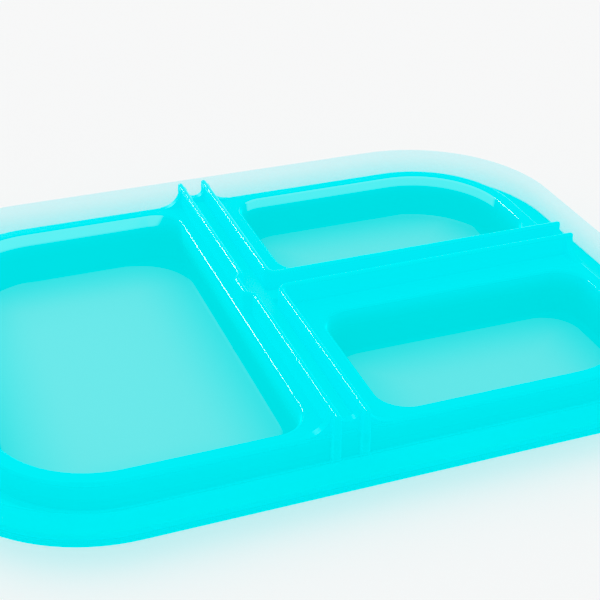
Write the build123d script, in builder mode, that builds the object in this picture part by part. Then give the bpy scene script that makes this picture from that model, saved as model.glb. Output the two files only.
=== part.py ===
from build123d import *
import math
import os

os.makedirs("parts", exist_ok=True)

# ---------------------------------------------------------------- driving dimensions, mm
# Lid, modelled seal side up: its raised panels stand on the table.
lid_length = 220.0
lid_width = 165.0
lid_corner = 47.0
wall = 1.6
skirt_top = 18.4
skirt_draft = 6.0
skirt_edge_flat = 0.2
web_bottom = 6.9
web_round = 2.4
ring_inset = 14.0
ring_top = 16.5
ring_land = 4.5
ring_round = 0.9

# Panels of the lid and the T divider between them. The stem runs across the lid, the arm runs to the right.
stem_offset = 5.5
stem_left = 8.4
stem_right = 12.5
arm_half = 13.0
divider_corner = 9.0
big_panel_slope = 4.6
big_panel_end_slope = 3.0
small_panel_slope = 0.4
arm_slope = 0.8
stem_slope = 0.3
panel_round = 1.0

# Paired ribs on the divider.
rib_spacing = 8.0
rib_thickness = 2.0
rib_height = 6.6
rib_overrun = 2.6
arm_rib_overrun = 0.4
rib_corner = 3.0
rib_draft = 1.0
rib_crest_round = 0.7
saddle_depth = 2.2
saddle_inset = 0.3
saddle_dip = 4.0
saddle_drop = 0.4
pilaster_length = 9.0
pilaster_depth = 2.0

# Seals in the lid.
gasket_thickness = 1.5
gasket_edge_round = 0.5
gasket_side_gap = 0.4
strip_thickness = 1.2
strip_edge_round = 0.4
strip_side_gap = 0.3

# Box.
box_height = 40.0
box_wall = 2.0
box_draft = 5.0
rim_gap = 4.6
flange_reach = 3.6
ledge_thickness = 2.0
ledge_overlap = 9.5
box_divider_width = 3.4
box_divider_wall = 1.5
box_edge_round = 0.9
rib_clear = 0.85
boss_corner = 3.0
box_corner = 3.5
box_floor_round = 3.0
foot_round = 3.0

# Closing: the gap left between lid and box, and the way from the turning axis to the open lid.
seat_gap = 0.3
lid_standoff = 30.0

# Clips on the two long sides of the box.
clip_width = 40.0
clip_thickness = 2.2
clip_side_gap = 0.4
clip_lip = 5.4
clip_tab = 4.0
clip_gap = 0.4
clip_round = 0.4
clip_hang_turn = 165.9
pin_radius = 1.25
pin_running_gap = 0.08
pin_chamfer = 0.25
pivot_drop = 15.0
pivot_inset = 2.0
barrel_radius = 3.0
lug_thickness = 3.0
lug_radius = 3.4
lug_drop = 9.0
lug_root = 3.0
lug_bite = 0.5

# ---------------------------------------------------------------- worked-out sizes
ring_half_x = lid_length / 2 - ring_inset
ring_half_y = lid_width / 2 - ring_inset
ring_corner = lid_corner - ring_inset
land_half_x = ring_half_x - ring_land
land_half_y = ring_half_y - ring_land
land_corner = ring_corner - ring_land
web_top = web_bottom + wall
rib_top = ring_top + rib_height
gasket_top = web_top + gasket_thickness
strip_top = ring_top + strip_thickness

# A height z on the open lid comes to closed_sum - z when the lid is on the box.
closed_sum = box_height + seat_gap + gasket_top
turn_height = closed_sum / 2
ledge_top = closed_sum - ring_top - seat_gap
box_divider_top = closed_sum - strip_top - seat_gap
closed_shoulder = closed_sum - web_bottom
slot_bottom = closed_sum - rib_top - rib_clear

rim_half_x = ring_half_x + rim_gap
rim_half_y = ring_half_y + rim_gap
rim_corner = ring_corner + rim_gap
flange_out = box_wall + flange_reach
turn_x = -(lid_length / 2 - rim_half_x - flange_out) / 2
lid_x = turn_x + lid_standoff + lid_length / 2
box_x = turn_x - lid_standoff - lid_length / 2
stem_x = lid_x - stem_offset
box_stem_x = 2 * turn_x - stem_x

ledge_half_x = rim_half_x - ledge_overlap
ledge_half_y = rim_half_y - ledge_overlap
ledge_corner = rim_corner - ledge_overlap
pivot_y = lid_width / 2 - pivot_inset
pivot_height = box_height - pivot_drop
lug_low = pivot_height - lug_drop


# ---------------------------------------------------------------- shared outlines
def slab(centre_x, half_x, half_y, corner, low, high, draft=0.0):
    """A rounded rectangle from low to high that widens upwards by the draft; half sizes are at the top."""
    rise = high - low
    with BuildPart() as made:
        with BuildSketch(Plane.XY.offset(high)) as outline:
            with Locations((centre_x, 0)):
                RectangleRounded(2 * half_x, 2 * half_y, corner)
        extrude(amount=-rise, taper=draft)
    return made.part


def pan(low, high, insets, corners, bottom, top, grow=0.0):
    """A tapering pan. low and high are its corners at the top; insets are how far left, right, front and back
    lean inwards at the bottom; grow moves every side outwards."""
    left, right, front, back = insets
    radii = [radius + grow for radius in corners]
    with BuildPart() as made:
        for level, share in ((bottom, 1.0), (top, 0.0)):
            x_low = low[0] + share * left - grow
            x_high = high[0] - share * right + grow
            y_low = low[1] + share * front - grow
            y_high = high[1] - share * back + grow
            with BuildSketch(Plane.XY.offset(level)):
                with BuildLine():
                    FilletPolyline(
                        (x_low, y_low), (x_high, y_low), (x_high, y_high), (x_low, y_high),
                        radius=radii, close=True,
                    )
                make_face()
        loft(ruled=True)
    return made.part


def lid_panels():
    """Corners, slopes and corner radii of the lid's three panels: the big one, then the two small ones."""
    stem_face = stem_x - stem_left
    small_left = stem_x + stem_right
    far_x = lid_x + land_half_x
    big = (
        (lid_x - land_half_x, -land_half_y), (stem_face, land_half_y),
        (big_panel_end_slope, stem_slope, big_panel_slope, big_panel_slope),
        (land_corner, divider_corner, divider_corner, land_corner),
    )
    back = (
        (small_left, arm_half), (far_x, land_half_y),
        (stem_slope, small_panel_slope, arm_slope, small_panel_slope),
        (divider_corner, divider_corner, land_corner, divider_corner),
    )
    front = (
        (small_left, -land_half_y), (far_x, -arm_half),
        (stem_slope, small_panel_slope, small_panel_slope, arm_slope),
        (divider_corner, land_corner, divider_corner, divider_corner),
    )
    return big, back, front


def rib_runs(height):
    """Sketch of the paired ribs from above: one run with a jog opposite the arm, and two L-shaped runs."""
    end_y = ring_half_y + rib_overrun - rib_thickness / 2
    end_x = lid_x + ring_half_x + arm_rib_overrun - rib_thickness / 2
    left = stem_x - rib_spacing / 2
    right = stem_x + rib_spacing / 2
    jog = left - pilaster_depth
    jog_foot = pilaster_length / 2 + pilaster_depth
    jogged = [
        (left, -end_y), (left, -jog_foot), (jog, -pilaster_length / 2),
        (jog, pilaster_length / 2), (left, jog_foot), (left, end_y),
    ]
    with BuildSketch(Plane.XY.offset(height)) as runs:
        with BuildLine() as jogged_line:
            FilletPolyline(*jogged, radius=rib_thickness)
        trace(line_width=rib_thickness)
        for side in (-1, 1):
            with BuildLine():
                FilletPolyline(
                    (right, side * end_y), (right, side * rib_spacing / 2), (end_x, side * rib_spacing / 2),
                    radius=rib_corner,
                )
            trace(line_width=rib_thickness)
        with Locations((left, end_y), (left, -end_y), (right, end_y), (right, -end_y)):
            Circle(rib_thickness / 2)
        with Locations((end_x, rib_spacing / 2), (end_x, -rib_spacing / 2)):
            Circle(rib_thickness / 2)
    return runs.sketch


def rib_saddles():
    """Curved feet where the rib pairs cross the ring, hollow on each side and dipping between the ribs."""
    inner = (rib_spacing - rib_thickness) / 2
    outer = (rib_spacing + rib_thickness) / 2
    low = ring_top - wall / 2
    high = rib_top - saddle_drop
    dip_centre = rib_top - saddle_dip + inner
    near_y = ring_half_y - saddle_inset
    near_x = lid_x + ring_half_x - saddle_inset
    back = Plane(origin=(stem_x, near_y, 0), x_dir=(1, 0, 0), z_dir=(0, -1, 0))
    front = Plane(origin=(stem_x, saddle_depth - near_y, 0), x_dir=(1, 0, 0), z_dir=(0, -1, 0))
    arm = Plane(origin=(near_x - saddle_depth, 0, 0), x_dir=(0, 1, 0), z_dir=(1, 0, 0))
    with BuildPart() as saddles:
        for plane in (back, front, arm):
            with BuildSketch(plane):
                with Locations((0, (low + high) / 2)):
                    Rectangle(2 * (outer + rib_height), high - low)
                with Locations((-outer - rib_height, rib_top), (outer + rib_height, rib_top)):
                    Circle(rib_height, mode=Mode.SUBTRACT)
                with Locations((0, dip_centre)):
                    Circle(inner, mode=Mode.SUBTRACT)
                with Locations((0, dip_centre + rib_height / 2)):
                    Rectangle(2 * inner, rib_height, mode=Mode.SUBTRACT)
            extrude(amount=saddle_depth)
    return saddles.part


def rib_fins():
    """Fins that carry the rib ends down the ring's outer face to the web."""
    fin_reach = rib_overrun + wall
    fin_y = ring_half_y + rib_overrun - fin_reach / 2
    with BuildPart() as fins:
        with BuildSketch(Plane.XY.offset(web_top - wall / 2)):
            for side in (-1, 1):
                with Locations(
                    (stem_x - rib_spacing / 2, side * fin_y), (stem_x + rib_spacing / 2, side * fin_y)
                ):
                    SlotOverall(fin_reach, rib_thickness, rotation=90)
        extrude(amount=ring_top - web_top + wall)
    return fins.part


# ---------------------------------------------------------------- lid
def make_lid():
    """The lid: skirt, web, hollow ring, three tapering panels with hollow dividers, and paired ribs."""
    half_x = lid_length / 2
    half_y = lid_width / 2
    shell = slab(lid_x, half_x, half_y, lid_corner, web_bottom, skirt_top, skirt_draft)
    shell_inside = slab(
        lid_x, half_x - wall, half_y - wall, lid_corner - wall, web_top, skirt_top, skirt_draft
    )
    ring = slab(lid_x, ring_half_x, ring_half_y, ring_corner, web_bottom, ring_top)
    ring_hollow = slab(
        lid_x, ring_half_x - wall, ring_half_y - wall, ring_corner - wall, web_bottom, ring_top - wall
    )
    panels = lid_panels()
    outer_pans = [pan(*panel, bottom=0.0, top=ring_top, grow=wall) for panel in panels]
    pockets = [pan(*panel, bottom=wall, top=ring_top) for panel in panels]
    runs = rib_runs(ring_top - wall / 2)
    fins = rib_fins()
    saddles = rib_saddles()
    with BuildPart() as ribs:
        add(runs)
        extrude(amount=rib_height + wall / 2, taper=rib_draft)
        fillet(ribs.faces().filter_by(Plane.XY).group_by(Axis.Z)[-1].edges(), rib_crest_round)
    with BuildPart() as lid:
        add(shell)
        fillet(lid.edges().group_by(Axis.Z)[0], web_round)
        add(shell_inside, mode=Mode.SUBTRACT)
        skirt_rim = lid.faces().filter_by(Plane.XY).group_by(Axis.Z)[-1].edges()
        fillet(skirt_rim, (wall - skirt_edge_flat) / 2)
        add(ring)
        add(ring_hollow, mode=Mode.SUBTRACT)
        add(outer_pans)
        fillet(lid.edges().group_by(Axis.Z)[0], panel_round)
        add(pockets, mode=Mode.SUBTRACT)
        land = lid.faces().filter_by(Plane.XY).filter_by(lambda f: abs(f.center().Z - ring_top) < wall / 4)
        fillet(land.edges(), ring_round)
        floors = lid.faces().filter_by(Plane.XY).filter_by(lambda f: abs(f.center().Z - wall) < wall / 4)
        fillet(floors.edges(), panel_round)
        add(ribs.part)
        add(fins)
        add(saddles)
    lid.part.label = "lid"
    return lid.part


# ---------------------------------------------------------------- seals
def make_rim_gasket():
    """Flat ring that lies on the web, between the rib fins and the skirt."""
    lean = (skirt_top - web_top) * math.tan(math.radians(skirt_draft))
    out = wall + lean + gasket_side_gap
    inner = ring_inset - rib_overrun - gasket_side_gap
    with BuildPart() as rim_gasket:
        with BuildSketch(Plane.XY.offset(web_top)):
            with Locations((lid_x, 0)):
                RectangleRounded(lid_length - 2 * out, lid_width - 2 * out, lid_corner - out)
                RectangleRounded(
                    lid_length - 2 * inner, lid_width - 2 * inner, lid_corner - inner, mode=Mode.SUBTRACT
                )
        extrude(amount=gasket_thickness)
        fillet(rim_gasket.edges().group_by(Axis.Z)[-1], gasket_edge_round)
    rim_gasket.part.label = "rim_gasket"
    return rim_gasket.part


def make_divider_seal():
    """T strip that lies on the dividers, between the paired ribs."""
    strip_width = rib_spacing - rib_thickness - 2 * strip_side_gap
    end_gap = saddle_inset + saddle_depth + strip_side_gap
    end_y = ring_half_y - end_gap
    end_x = lid_x + ring_half_x - end_gap
    with BuildPart() as divider_seal:
        with BuildSketch(Plane.XY.offset(ring_top)):
            with Locations((stem_x, 0)):
                Rectangle(strip_width, 2 * end_y)
            with Locations(((stem_x + end_x) / 2, 0)):
                Rectangle(end_x - stem_x, strip_width)
        extrude(amount=strip_thickness)
        fillet(divider_seal.edges().group_by(Axis.Z)[-1], strip_edge_round)
    divider_seal.part.label = "divider_seal"
    return divider_seal.part


# ---------------------------------------------------------------- box
def box_panels():
    """The box's three compartments, a mirror image of the lid's panels, outlined at the divider's top."""
    depth = box_divider_top - box_wall
    lean = depth * math.tan(math.radians(box_draft))
    insets = (lean, lean, lean, lean)
    half = box_divider_width / 2
    near_x = box_x + ledge_half_x
    far_x = box_x - ledge_half_x
    big = (
        (box_stem_x + half, -ledge_half_y), (near_x, ledge_half_y), insets,
        (box_corner, ledge_corner, ledge_corner, box_corner),
    )
    back = (
        (far_x, half), (box_stem_x - half, ledge_half_y), insets,
        (box_corner, box_corner, box_corner, ledge_corner),
    )
    front = (
        (far_x, -ledge_half_y), (box_stem_x - half, -half), insets,
        (ledge_corner, box_corner, box_corner, box_corner),
    )
    return big, back, front


def divider_hollow():
    """The space under the box's dividers, open below, which leaves an even wall on each side."""
    height = box_divider_top - box_wall
    spread = 2 * box_divider_top * math.tan(math.radians(box_draft))
    width = box_divider_width + spread - 2 * box_divider_wall
    base_half_x = ledge_half_x - ledge_top * math.tan(math.radians(box_draft))
    base_half_y = ledge_half_y - ledge_top * math.tan(math.radians(box_draft))
    end_x = box_x - base_half_x
    with BuildPart() as hollow:
        with BuildSketch():
            with Locations((box_stem_x, 0)):
                Rectangle(width, 2 * base_half_y)
            with Locations(((box_stem_x + end_x) / 2, 0)):
                Rectangle(box_stem_x - end_x, width)
        extrude(amount=height, taper=box_draft)
    return hollow.part


def lugs():
    """Two pairs of lugs, one pair on each long side, that carry the clip pins."""
    root_y = ledge_half_y + box_wall - (ledge_top - lug_low) * math.tan(math.radians(box_draft)) - lug_bite
    root_height = ledge_top - ledge_thickness - lug_low
    offset = clip_width / 2 + clip_side_gap
    with BuildPart() as made:
        for side in (-1, 1):
            for start in (box_x - offset - lug_thickness, box_x + offset):
                with BuildSketch(Plane.YZ.offset(start)):
                    with Locations((side * pivot_y, pivot_height)):
                        Circle(lug_radius)
                    with Locations((side * (root_y + lug_root / 2), lug_low + root_height / 2)):
                        Rectangle(lug_root, root_height)
                    make_hull()
                    with Locations((side * pivot_y, pivot_height)):
                        Circle(pin_radius, mode=Mode.SUBTRACT)
                extrude(amount=lug_thickness)
    return made.part


def rib_bosses():
    """Thicker places in the box's wall under the ledge, where the ends of the lid's ribs go in."""
    half_width = (rib_spacing + rib_thickness) / 2 + rib_height + rib_clear + box_wall
    reach_x = ring_half_x + arm_rib_overrun + rib_clear + box_wall
    reach_y = ring_half_y + rib_overrun + rib_clear + box_wall
    low = slot_bottom - box_wall
    stem = slab(box_stem_x, half_width, reach_y, boss_corner, low, ledge_top, box_draft)
    arm = slab(box_x - reach_x / 2, reach_x / 2, half_width, boss_corner, low, ledge_top, box_draft)
    return [stem, arm]


def rib_slots():
    """Slots through the ledge for the lid's rib ends, and a shallow bed between them for the divider seal."""
    slot = rib_thickness + 2 * rib_clear
    bed = rib_spacing - rib_thickness
    reach_x = ring_half_x + arm_rib_overrun + rib_clear
    reach_y = ring_half_y + rib_overrun + rib_clear
    bite = box_corner + box_wall / 2
    start_x = ledge_half_x - bite
    start_y = ledge_half_y - bite
    saddle_width = rib_spacing + rib_thickness + 2 * (rib_height + rib_clear)
    saddle_slot = saddle_depth + 2 * rib_clear
    saddle_in = saddle_inset + saddle_depth / 2
    with BuildPart() as slots:
        with BuildSketch(Plane.XY.offset(slot_bottom)):
            for side in (-1, 1):
                rib_x = box_stem_x + side * rib_spacing / 2
                with Locations((rib_x, (start_y + reach_y) / 2), (rib_x, -(start_y + reach_y) / 2)):
                    Rectangle(slot, reach_y - start_y)
                with Locations((box_x - (start_x + reach_x) / 2, side * rib_spacing / 2)):
                    Rectangle(reach_x - start_x, slot)
            with Locations((box_stem_x, ring_half_y - saddle_in), (box_stem_x, saddle_in - ring_half_y)):
                Rectangle(saddle_width, saddle_slot)
            with Locations((box_x - ring_half_x + saddle_in, 0)):
                Rectangle(saddle_slot, saddle_width)
        extrude(amount=ledge_top - slot_bottom)
        with BuildSketch(Plane.XY.offset(box_divider_top)):
            with Locations((box_stem_x, 0)):
                Rectangle(bed, 2 * reach_y)
            with Locations((box_x - reach_x / 2, 0)):
                Rectangle(reach_x, bed)
        extrude(amount=ledge_top - box_divider_top)
    return slots.part


def make_box_base():
    """The box: a tapering three-compartment body, a ledge for the lid's ring, a rim and a flange."""
    body = slab(
        box_x, ledge_half_x + box_wall, ledge_half_y + box_wall, ledge_corner + box_wall,
        0.0, ledge_top, box_draft,
    )
    ledge = slab(
        box_x, rim_half_x + box_wall, rim_half_y + box_wall, rim_corner + box_wall,
        ledge_top - ledge_thickness, box_height,
    )
    flange = slab(
        box_x, rim_half_x + flange_out, rim_half_y + flange_out, rim_corner + flange_out,
        box_height - box_wall, box_height,
    )
    rim_inside = slab(box_x, rim_half_x, rim_half_y, rim_corner, ledge_top, box_height)
    mouth = slab(box_x, ledge_half_x, ledge_half_y, ledge_corner, box_divider_top, ledge_top)
    pockets = [pan(*panel, bottom=box_wall, top=box_divider_top) for panel in box_panels()]
    hollow = divider_hollow()
    ears = lugs()
    bosses = rib_bosses()
    slots = rib_slots()
    with BuildPart() as box_base:
        add(body)
        fillet(box_base.edges().group_by(Axis.Z)[0], foot_round)
        add(bosses)
        add(ledge)
        add(flange)
        add(rim_inside, mode=Mode.SUBTRACT)
        add(mouth, mode=Mode.SUBTRACT)
        add(pockets, mode=Mode.SUBTRACT)
        fillet(box_base.faces().filter_by(Plane.XY).group_by(Axis.Z)[-1].edges(), box_edge_round)
        floors = box_base.faces().filter_by(Plane.XY).filter_by(
            lambda f: abs(f.center().Z - box_wall) < box_wall / 4
        )
        fillet(floors.edges(), box_floor_round)
        add(hollow, mode=Mode.SUBTRACT)
        add(slots, mode=Mode.SUBTRACT)
        add(ears)
    box_base.part.label = "box_base"
    return box_base.part


# ---------------------------------------------------------------- clips and their pins
def clip_plane(side):
    """Plane across a hanging clip: its x axis points away from the lid, its y axis along the plate."""
    turn = math.radians(clip_hang_turn)
    along = Vector(0, side * math.sin(turn), math.cos(turn))
    away = Vector(0, side * math.cos(turn), -math.sin(turn))
    return Plane(
        origin=(box_x, side * pivot_y, pivot_height), x_dir=away, z_dir=away.cross(along)
    )


def make_clip(side, name):
    """A clip: barrel round the pin, plate past the skirt, lip that hooks over the lid, and a finger tab."""
    inner = pivot_inset + clip_gap
    outer = inner + clip_thickness
    tip = closed_shoulder + clip_gap + clip_thickness - pivot_height
    plane = clip_plane(side)
    with BuildPart() as clip:
        with BuildSketch(plane) as profile:
            with Locations(((inner + outer) / 2, (tip - barrel_radius / 2) / 2)):
                Rectangle(clip_thickness, tip + barrel_radius / 2)
            with Locations(((inner - clip_lip + outer + clip_tab) / 2, tip - clip_thickness / 2)):
                Rectangle(clip_lip + clip_thickness + clip_tab, clip_thickness)
            fillet(profile.vertices().group_by(Axis.Y)[-2:], clip_round)
            Circle(barrel_radius)
        extrude(amount=clip_width / 2, both=True)
        with BuildSketch(plane):
            Circle(pin_radius + pin_running_gap)
        extrude(amount=clip_width / 2, both=True, mode=Mode.SUBTRACT)
    clip.part.label = name
    return clip.part


def make_pin(side, name):
    """Hinge pin of one clip, held in the lugs."""
    half_length = clip_width / 2 + clip_side_gap + lug_thickness
    with BuildPart() as pin:
        with BuildSketch(Plane.YZ.offset(box_x)):
            with Locations((side * pivot_y, pivot_height)):
                Circle(pin_radius)
        extrude(amount=half_length, both=True)
        chamfer(pin.edges().filter_by(GeomType.CIRCLE), pin_chamfer)
    pin.part.label = name
    return pin.part


# ---------------------------------------------------------------- write every piece
pieces = [
    make_lid(),
    make_rim_gasket(),
    make_divider_seal(),
    make_box_base(),
    make_clip(-1, "clip_front"),
    make_clip(1, "clip_back"),
    make_pin(-1, "pin_front"),
    make_pin(1, "pin_back"),
]
for piece in pieces:
    export_step(piece, f"parts/{piece.label}.step")
    bounds = piece.bounding_box()
    print(piece.label, len(piece.solids()), round(piece.volume), bounds.min, bounds.max)
print("turning axis at x", turn_x, "z", turn_height)
print("clip pivots at x", box_x, "y", pivot_y, "z", pivot_height)
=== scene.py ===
import math

import bpy
from mathutils import Matrix, Vector


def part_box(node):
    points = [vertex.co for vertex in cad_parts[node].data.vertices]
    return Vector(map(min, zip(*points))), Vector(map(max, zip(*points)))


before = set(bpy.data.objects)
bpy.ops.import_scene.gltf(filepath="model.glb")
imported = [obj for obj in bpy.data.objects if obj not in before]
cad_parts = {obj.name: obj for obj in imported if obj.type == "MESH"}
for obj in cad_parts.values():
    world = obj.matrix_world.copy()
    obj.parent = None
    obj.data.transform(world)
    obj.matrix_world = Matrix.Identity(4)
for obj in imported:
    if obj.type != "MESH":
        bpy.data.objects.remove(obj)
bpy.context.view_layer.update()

MM = 0.001
STRIP_HALF_WIDTH = 2.7 * MM
lid_low, lid_high = (Vector(corner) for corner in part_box("lid"))
stem_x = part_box("divider_seal")[0][0] + STRIP_HALF_WIDTH
junction = Vector((stem_x, 0.0, lid_high.z))

# Outlines on the lid, in metres.
LID_HALF_LENGTH = 0.110
LID_HALF_WIDTH = 0.0825
LID_CORNER = 0.047
BIG_FLOOR_INSET = 21.5 * MM
BIG_FLOOR_TO_STEM = 8.0 * MM
BIG_FLOOR_HALF_WIDTH = 0.0600
BIG_FLOOR_CORNER = 0.020
SMALL_FLOOR_INSET = 20.0 * MM
SMALL_FLOOR_TO_STEM = 13.5 * MM
SMALL_FLOOR_MIDDLE = 0.0390
SMALL_FLOOR_HALF_WIDTH = 0.0252
SMALL_FLOOR_CORNER = 0.012
STEM_MIDDLE = 3.0 * MM

# Plastic colours: the body colour, painted light for the thin floors and the back band, and the glow, painted
# light that stands for light passed on inside the plastic.
DEEP = (0.0, 0.38, 0.40, 1.0)
PAINTED_FLOOR_LIGHT = (0.12, 0.42, 0.43, 1.0)
GLOW_LOW = (0.0, 0.41, 0.42, 1.0)
GLOW_HIGH = (0.0, 0.48, 0.53, 1.0)
GLOW_CHANNEL = (0.0, 0.47, 0.50, 1.0)
GLOW_THIN = (0.06, 0.39, 0.39, 1.0)
BAND = (0.10, 0.38, 0.39, 1.0)
GLOW_BAND = (0.08, 0.53, 0.54, 1.0)
BOX_DEEP = (0.0, 0.53, 0.56, 1.0)
BOX_GLOW = (0.0, 0.24, 0.25, 1.0)
BOX_GLOW_RIM = (0.0, 0.32, 0.35, 1.0)
STEEL_DARK = (0.50, 0.51, 0.52, 1.0)
STEEL_PALE = (0.68, 0.69, 0.70, 1.0)
GLOSS = 0.2
PLASTIC_IOR = 1.49

# How much of the skirt is clear, low down and over the rest of its height.
SKIRT_CLEAR = 0.68
SKIRT_CLEARER = 0.15


# ---------------------------------------------------------------- shader maths
class Wire:
    """A shader socket that takes part in Python sums, so an expression adds its Math nodes."""

    def __init__(self, tree, socket):
        self.tree = tree
        self.socket = socket

    def maths(self, operation, first, second=0.0):
        node = self.tree.nodes.new("ShaderNodeMath")
        node.operation = operation
        for place, value in enumerate((first, second)):
            if isinstance(value, Wire):
                self.tree.links.new(value.socket, node.inputs[place])
            else:
                node.inputs[place].default_value = value
        return Wire(self.tree, node.outputs[0])

    def __add__(self, other):
        return self.maths("ADD", self, other)

    def __sub__(self, other):
        return self.maths("SUBTRACT", self, other)

    def __rsub__(self, other):
        return self.maths("SUBTRACT", other, self)

    def __mul__(self, other):
        return self.maths("MULTIPLY", self, other)

    def __rmul__(self, other):
        return self.maths("MULTIPLY", other, self)

    def size(self):
        return self.maths("ABSOLUTE", self)


class Finish:
    """A new material: node() adds any node, and its surface shader is the principled one."""

    def __init__(self, name):
        self.material = bpy.data.materials.new(name)
        self.material.use_nodes = True
        self.tree = self.material.node_tree
        self.surface = self.tree.nodes["Principled BSDF"]

    def node(self, kind, settings=None, output=0, **sockets):
        """Any node, with its settings made first, then its sockets fed."""
        node = self.tree.nodes.new(kind)
        for key, value in (settings or {}).items():
            setattr(node, key, value)
        self.feed(node, **sockets)
        return Wire(self.tree, node.outputs[output])

    def feed(self, node, **sockets):
        """Values or links for a node's sockets, which are named with _ for a space."""
        for key, value in sockets.items():
            socket = node.inputs[key.replace("_", " ")]
            if isinstance(value, Wire):
                self.tree.links.new(value.socket, socket)
            else:
                socket.default_value = value

    def split(self, vector):
        """The three parts of a vector, each as a number."""
        node = self.tree.nodes.new("ShaderNodeSeparateXYZ")
        self.tree.links.new(vector.socket, node.inputs[0])
        return [Wire(self.tree, socket) for socket in node.outputs]

    def place(self):
        """Object coordinates, in metres."""
        return self.node("ShaderNodeTexCoord", output="Object")


def smooth_step(finish, value, low, high):
    """0 below low, 1 above high, with an S-shaped rise between."""
    return finish.node(
        "ShaderNodeMapRange", {"interpolation_type": "SMOOTHSTEP"}, output="Result",
        Value=value, From_Min=low, From_Max=high, To_Min=0.0, To_Max=1.0,
    )


def rise_mm(finish, value, low, high):
    """A smooth step whose limits are in millimetres."""
    return smooth_step(finish, value, low * MM, high * MM)


def layer_mm(finish, value, start, full, fading, gone):
    """1 from full to fading, 0 below start and above gone, all in millimetres."""
    return rise_mm(finish, value, start, full) * (1.0 - rise_mm(finish, value, fading, gone))


def outline_depth(x, y, half_x, half_y, corner):
    """How far a point lies inside a rounded rectangle, from its straight sides and its corner arcs."""
    over_x = x.size() - (half_x - corner)
    over_y = y.size() - (half_y - corner)
    past_x = over_x.maths("MAXIMUM", over_x, 0.0)
    past_y = over_y.maths("MAXIMUM", over_y, 0.0)
    squares = past_x * past_x + past_y * past_y
    arc = squares.maths("SQRT", squares)
    side = over_x.maths("MAXIMUM", over_x, over_y)
    return corner - arc - side.maths("MINIMUM", side, 0.0)


def mix_colours(finish, factor, first, second):
    """The first colour where factor is 0, the second where it is 1."""
    node = finish.tree.nodes.new("ShaderNodeMix")
    node.data_type = "RGBA"
    factor_socket, first_socket, second_socket = (node.inputs[place] for place in (0, 6, 7))
    finish.tree.links.new(factor.socket, factor_socket)
    for socket, value in ((first_socket, first), (second_socket, second)):
        if isinstance(value, Wire):
            finish.tree.links.new(value.socket, socket)
        else:
            socket.default_value = value
    return Wire(finish.tree, node.outputs[2])


def noise(finish, place, scale, detail, roughness=0.5):
    return finish.node("ShaderNodeTexNoise", Vector=place, Scale=scale, Detail=detail, Roughness=roughness)


def moulded_bump(finish, place, ripple):
    """Faint waviness and a finer moulded grain."""
    wave = noise(finish, place, 110.0, 2.0)
    grain = noise(finish, place, 1300.0, 1.0)
    bump = finish.node(
        "ShaderNodeBump", output="Normal", Height=wave + grain * 0.06, Strength=ripple, Distance=0.3 * MM,
    )
    return bump, grain


# ---------------------------------------------------------------- finishes
def painted_floor_light_share(finish, x, y, z):
    """Where painted light lies on the lid's three flat floors: 1 well inside them, falling slowly and then
    quickly to 0 at their edges, which is painted shade near the walls.
    """
    big_left = lid_low.x + BIG_FLOOR_INSET
    big_right = stem_x - BIG_FLOOR_TO_STEM
    small_left = stem_x + SMALL_FLOOR_TO_STEM
    small_right = lid_high.x - SMALL_FLOOR_INSET
    in_big = outline_depth(
        x - (big_left + big_right) / 2, y, (big_right - big_left) / 2, BIG_FLOOR_HALF_WIDTH, BIG_FLOOR_CORNER
    )
    in_small = outline_depth(
        x - (small_left + small_right) / 2, y.size() - SMALL_FLOOR_MIDDLE, (small_right - small_left) / 2,
        SMALL_FLOOR_HALF_WIDTH, SMALL_FLOOR_CORNER,
    )
    inside = in_big.maths("MAXIMUM", in_big, in_small)
    fade = 0.6 * rise_mm(finish, inside, 0.0, 1.6) + 0.4 * rise_mm(finish, inside, 0.0, 22.0)
    return (1.0 - rise_mm(finish, z, 1.7, 2.6)) * fade


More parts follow.
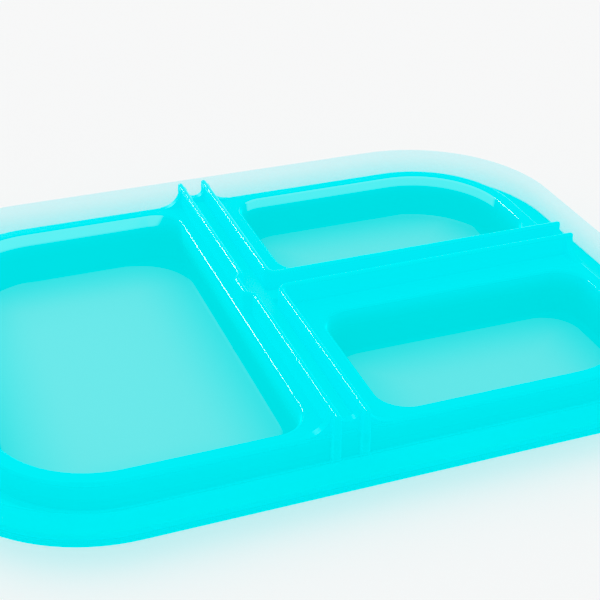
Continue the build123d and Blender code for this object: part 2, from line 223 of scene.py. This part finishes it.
def lid_finish():
    """Milky tinted plastic: deep on the walls, paler on the single floors from painted light, part clear at
    the skirt, and a painted glow that is brighter higher up.
    """
    finish = Finish("lid_plastic")
    place = finish.place()
    x, y, z = finish.split(place)
    depth = outline_depth(
        x - (lid_low.x + lid_high.x) / 2, y, LID_HALF_LENGTH, LID_HALF_WIDTH, LID_CORNER
    )
    # Painted light on the thin floors, with painted shade towards their edges.
    floor = painted_floor_light_share(finish, x, y, z)

    # Pale band high on the back wall, where light comes through the hollow ring.
    off_stem = rise_mm(finish, (x - (stem_x + STEM_MIDDLE)).size(), 10.5, 12.0)
    on_wall = layer_mm(finish, depth, 16.9, 17.3, 19.6, 20.6)
    high_up = layer_mm(finish, z, 12.3, 13.4, 16.1, 16.45)
    band = on_wall * high_up * rise_mm(finish, y, 36.0, 39.0) * off_stem
    colour = mix_colours(finish, band, mix_colours(finish, floor, DEEP, PAINTED_FLOOR_LIGHT), BAND)

    skirt = 1.0 - rise_mm(finish, depth, 3.4, 4.0)
    clear = rise_mm(finish, z, 8.5, 17.5) * SKIRT_CLEARER + SKIRT_CLEAR
    alpha = 1.0 - skirt * rise_mm(finish, z, 8.2, 9.0) * clear

    # Painted light: an emitted glow, dimmer low down and brighter higher up, with its own tint in the hollow
    # channel.
    channel = (1.0 - rise_mm(finish, depth, 13.6, 14.6)) * (1.0 - rise_mm(finish, z, 12.0, 17.0))
    painted_glow = mix_colours(finish, rise_mm(finish, z, 9.0, 19.0), GLOW_LOW, GLOW_HIGH)
    painted_glow = mix_colours(finish, channel, painted_glow, GLOW_CHANNEL)
    glow = mix_colours(finish, band, mix_colours(finish, floor, painted_glow, GLOW_THIN), GLOW_BAND)

    # Rounded edges and rib crests are polished; low faces, the land and the sides of the ribs are duller.
    low_down = 1.0 - rise_mm(finish, z, 6.0, 14.0)
    matt_faces = layer_mm(finish, z, 16.42, 16.48, 21.9, 22.3)
    bump, grain = moulded_bump(finish, place, 0.008)
    finish.feed(
        finish.surface, Base_Color=colour, Roughness=grain * 0.03 + 0.07 + low_down * 0.6 + matt_faces * 0.4,
        IOR=PLASTIC_IOR, Alpha=alpha, Normal=bump, Emission_Color=glow, Emission_Strength=1.0,
        Specular_IOR_Level=GLOSS,
    )
    return finish.material


def plain_plastic(name, colour, glow, roughness, ripple, cloud):
    """Even tinted plastic or rubber with a painted glow, a little paler in slow clouds, with a moulded grain.
    """
    finish = Finish(name)
    place = finish.place()
    bump, grain = moulded_bump(finish, place, ripple)
    pale = smooth_step(finish, noise(finish, place, 16.0, 2.0), 0.35, 0.65) * cloud
    paler = tuple(part + (1.0 - part) * 0.12 for part in glow[:3]) + (1.0,)
    # The emitted glow is painted light that stands for light passed on inside the plastic. Its paler clouds
    # are random tone.
    finish.feed(
        finish.surface, Base_Color=colour, Roughness=grain * 0.08 + pale * 0.1 + roughness, IOR=PLASTIC_IOR,
        Normal=bump, Emission_Color=mix_colours(finish, pale, glow, paler), Emission_Strength=1.0,
        Specular_IOR_Level=GLOSS,
    )
    return finish.material


def box_finish():
    """The box's plastic: painted light makes the floors paler than the walls and the rim brighter, with faint
    scuffs on the feet.
    """
    finish = Finish("box_plastic")
    place = finish.place()
    z = finish.split(place)[2]
    bump, grain = moulded_bump(finish, place, 0.03)
    scuffs = noise(finish, place, 260.0, 3.0, 0.7)
    worn = smooth_step(finish, scuffs, 0.58, 0.72) * (1.0 - rise_mm(finish, z, 0.0, 3.0))
    # Painted light: the floor is paler, and the emitted glow grows brighter towards the rim.
    on_floor = layer_mm(finish, z, 1.0, 1.8, 2.2, 4.0)
    painted_glow = mix_colours(finish, rise_mm(finish, z, 30.0, 40.0), BOX_GLOW, BOX_GLOW_RIM)
    finish.feed(
        finish.surface, Base_Color=mix_colours(finish, on_floor, BOX_DEEP, PAINTED_FLOOR_LIGHT), IOR=PLASTIC_IOR,
        Normal=bump, Roughness=grain * 0.05 + 0.08 + worn * 0.35, Specular_IOR_Level=GLOSS,
        Emission_Color=mix_colours(finish, on_floor, painted_glow, GLOW_THIN), Emission_Strength=1.0,
    )
    return finish.material


def steel_finish():
    """Drawn steel wire: fine streaks along the pin, which lies along X."""
    finish = Finish("pin_steel")
    stretched = finish.node("ShaderNodeMapping", Vector=finish.place(), Scale=(40.0, 4000.0, 4000.0))
    streaks = noise(finish, stretched, 1.0, 3.0, 0.6)
    bump = finish.node(
        "ShaderNodeBump", output="Normal", Height=streaks, Strength=0.15, Distance=0.05 * MM
    )
    finish.feed(
        finish.surface, Base_Color=mix_colours(finish, streaks, STEEL_DARK, STEEL_PALE), Metallic=1.0,
        Roughness=streaks * 0.18 + 0.22, Normal=bump,
    )
    return finish.material


clip_plastic = plain_plastic("clip_plastic", BOX_DEEP, BOX_GLOW_RIM, 0.14, 0.05, 0.6)
seal_silicone = plain_plastic("seal_silicone", DEEP, GLOW_CHANNEL, 0.5, 0.06, 0.4)
pin_steel = steel_finish()
finishes = {
    "lid": lid_finish(), "box_base": box_finish(), "clip_front": clip_plastic, "clip_back": clip_plastic,
    "rim_gasket": seal_silicone, "divider_seal": seal_silicone, "pin_front": pin_steel, "pin_back": pin_steel,
}
for name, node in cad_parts.items():
    node.data.materials.clear()
    node.data.materials.append(finishes[name])

# ---------------------------------------------------------------- table
TABLE_REACH = 6.0
TABLE_TOP = -0.2 * MM
table_finish = Finish("table_white")
table_finish.feed(
    table_finish.surface, Base_Color=(0.46, 0.46, 0.46, 1.0), Roughness=0.9, Specular_IOR_Level=0.0,
    Emission_Color=(0.49, 0.49, 0.49, 1.0), Emission_Strength=1.0,
)
table_mesh = bpy.data.meshes.new("table")
table_corners = [
    (across * TABLE_REACH, along * TABLE_REACH, TABLE_TOP)
    for across, along in ((-1, -1), (1, -1), (1, 1), (-1, 1))
]
table_mesh.from_pydata(table_corners, [], [(0, 1, 2, 3)])
table_mesh.materials.append(table_finish.material)
table = bpy.data.objects.new("table", table_mesh)
bpy.context.scene.collection.objects.link(table)

# ---------------------------------------------------------------- light
world = bpy.data.worlds.new("studio")
world.use_nodes = True
sky = world.node_tree.nodes["Background"]
sky.inputs["Color"].default_value = (1.0, 1.0, 1.0, 1.0)
sky.inputs["Strength"].default_value = 0.97
bpy.context.scene.world = world


def softbox(name, centre, aim, width, height, watts):
    """A rectangular area light at centre that faces aim and shows only in gloss."""
    data = bpy.data.lights.new(name, "AREA")
    data.shape = "RECTANGLE"
    data.size = width
    data.size_y = height
    data.energy = watts
    lamp = bpy.data.objects.new(name, data)
    bpy.context.scene.collection.objects.link(lamp)
    lamp.location = centre
    lamp.visible_diffuse = False
    lamp.rotation_euler = (aim - centre).to_track_quat("-Z", "Y").to_euler()


SOFTBOX_WAY = Vector((-0.32, 0.80, 0.50))
SOFTBOX_DISTANCE = 1.6
softbox("crest_softbox", junction + SOFTBOX_WAY * SOFTBOX_DISTANCE, junction, 0.15, 0.5, 10.0)

# ---------------------------------------------------------------- camera
camera_offset = Vector((-109.5, -318.6, 193.55)) * MM
pitch, yaw, roll = (math.radians(angle) for angle in (30.702, 20.92, 0.669))
ahead = Vector((math.sin(yaw), math.cos(yaw), 0.0))
side = Vector((math.cos(yaw), -math.sin(yaw), 0.0))
up = Vector((0.0, 0.0, 1.0))
view_line = math.cos(pitch) * ahead - math.sin(pitch) * up
view_up = math.sin(pitch) * ahead + math.cos(pitch) * up
right = math.cos(roll) * side + math.sin(roll) * view_up
top = math.cos(roll) * view_up - math.sin(roll) * side
camera_data = bpy.data.cameras.new("camera")
camera_data.sensor_width = 36.0
camera_data.lens = 79.96
camera = bpy.data.objects.new("camera", camera_data)
bpy.context.scene.collection.objects.link(camera)
turn = Matrix((right, top, -view_line)).transposed().to_4x4()
camera.matrix_world = Matrix.Translation(junction + camera_offset) @ turn
bpy.context.scene.camera = camera

# Plain colours, with the faintest red clipped to none.
view_settings = bpy.context.scene.view_settings
view_settings.view_transform = "Standard"
view_settings.use_curve_mapping = True
view_settings.curve_mapping.black_level = (0.05, 0.0, 0.0)
